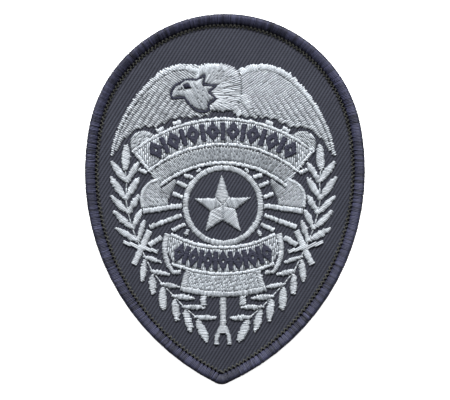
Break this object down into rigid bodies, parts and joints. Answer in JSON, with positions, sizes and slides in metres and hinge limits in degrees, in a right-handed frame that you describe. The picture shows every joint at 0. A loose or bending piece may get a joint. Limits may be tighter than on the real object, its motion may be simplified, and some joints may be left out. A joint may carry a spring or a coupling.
{
  "type": "embroidered shield patch",
  "caption": "Drop-shaped embroidered badge patch: dark twill with a wound border and raised silver eagle, banners, ringed star and laurel.",
  "frame": {"origin": "middle of the flat underside", "axes": "+Z out of the embroidered face, +Y from the bottom tip to the round top, +X to the right as the face is read"},
  "size_m": [0.0672, 0.0888, 0.0026],
  "materials": {
    "twill": "charcoal cotton twill with a fine slanted rib",
    "border_thread": "wound navy polyester thread, slight sheen",
    "silver_thread": "silver-grey rayon embroidery thread, satin sheen",
    "grey_thread": "grey rayon embroidery thread, satin sheen",
    "navy_thread": "navy rayon embroidery thread, satin sheen"
  },
  "bodies": {
    "root": {"twill_base": "twill", "border": "border_thread", "wing_left": "silver_thread", "wing_right": "silver_thread", "wing_ridge_left": "silver_thread", "wing_ridge_right": "silver_thread", "chest": "silver_thread", "head": "grey_thread", "head_outline": "navy_thread", "eye": "navy_thread", "banner_top": "silver_thread", "banner_top_rim": "silver_thread", "top_marks": "navy_thread", "ribbon_band": "grey_thread", "band_rim": "silver_thread", "ring": "silver_thread", "star": "silver_thread", "banner_bottom": "silver_thread", "banner_bottom_rim": "silver_thread", "bottom_marks": "navy_thread", "plaque": "grey_thread", "plaque_rim": "silver_thread", "fork": "silver_thread", "scroll_top_left": "silver_thread", "ribbon_lobe_left": "silver_thread", "ribbon_fold_left": "grey_thread", "rays_left": "silver_thread", "scroll_bottom_left": "silver_thread", "scroll_top_right": "silver_thread", "ribbon_lobe_right": "silver_thread", "ribbon_fold_right": "grey_thread", "rays_right": "silver_thread", "scroll_bottom_right": "silver_thread", "leaf_top_left": "silver_thread", "tie_left": "silver_thread", "leaf_top_right": "silver_thread", "tie_right": "silver_thread", "sprig_1_left": "silver_thread", "sprig_2_left": "silver_thread", "sprig_3_left": "silver_thread", "sprig_4_left": "silver_thread", "sprig_5_left": "silver_thread", "sprig_6_left": "silver_thread", "sprig_7_left": "silver_thread", "sprig_8_left": "silver_thread", "sprig_9_left": "silver_thread", "sprig_10_left": "silver_thread", "sprig_11_left": "silver_thread", "sprig_1_right": "silver_thread", "sprig_2_right": "silver_thread", "sprig_3_right": "silver_thread", "sprig_4_right": "silver_thread", "sprig_5_right": "silver_thread", "sprig_6_right": "silver_thread", "sprig_7_right": "silver_thread", "sprig_8_right": "silver_thread", "sprig_9_right": "silver_thread", "sprig_10_right": "silver_thread", "sprig_11_right": "silver_thread"}
  },
  "joints": []
}
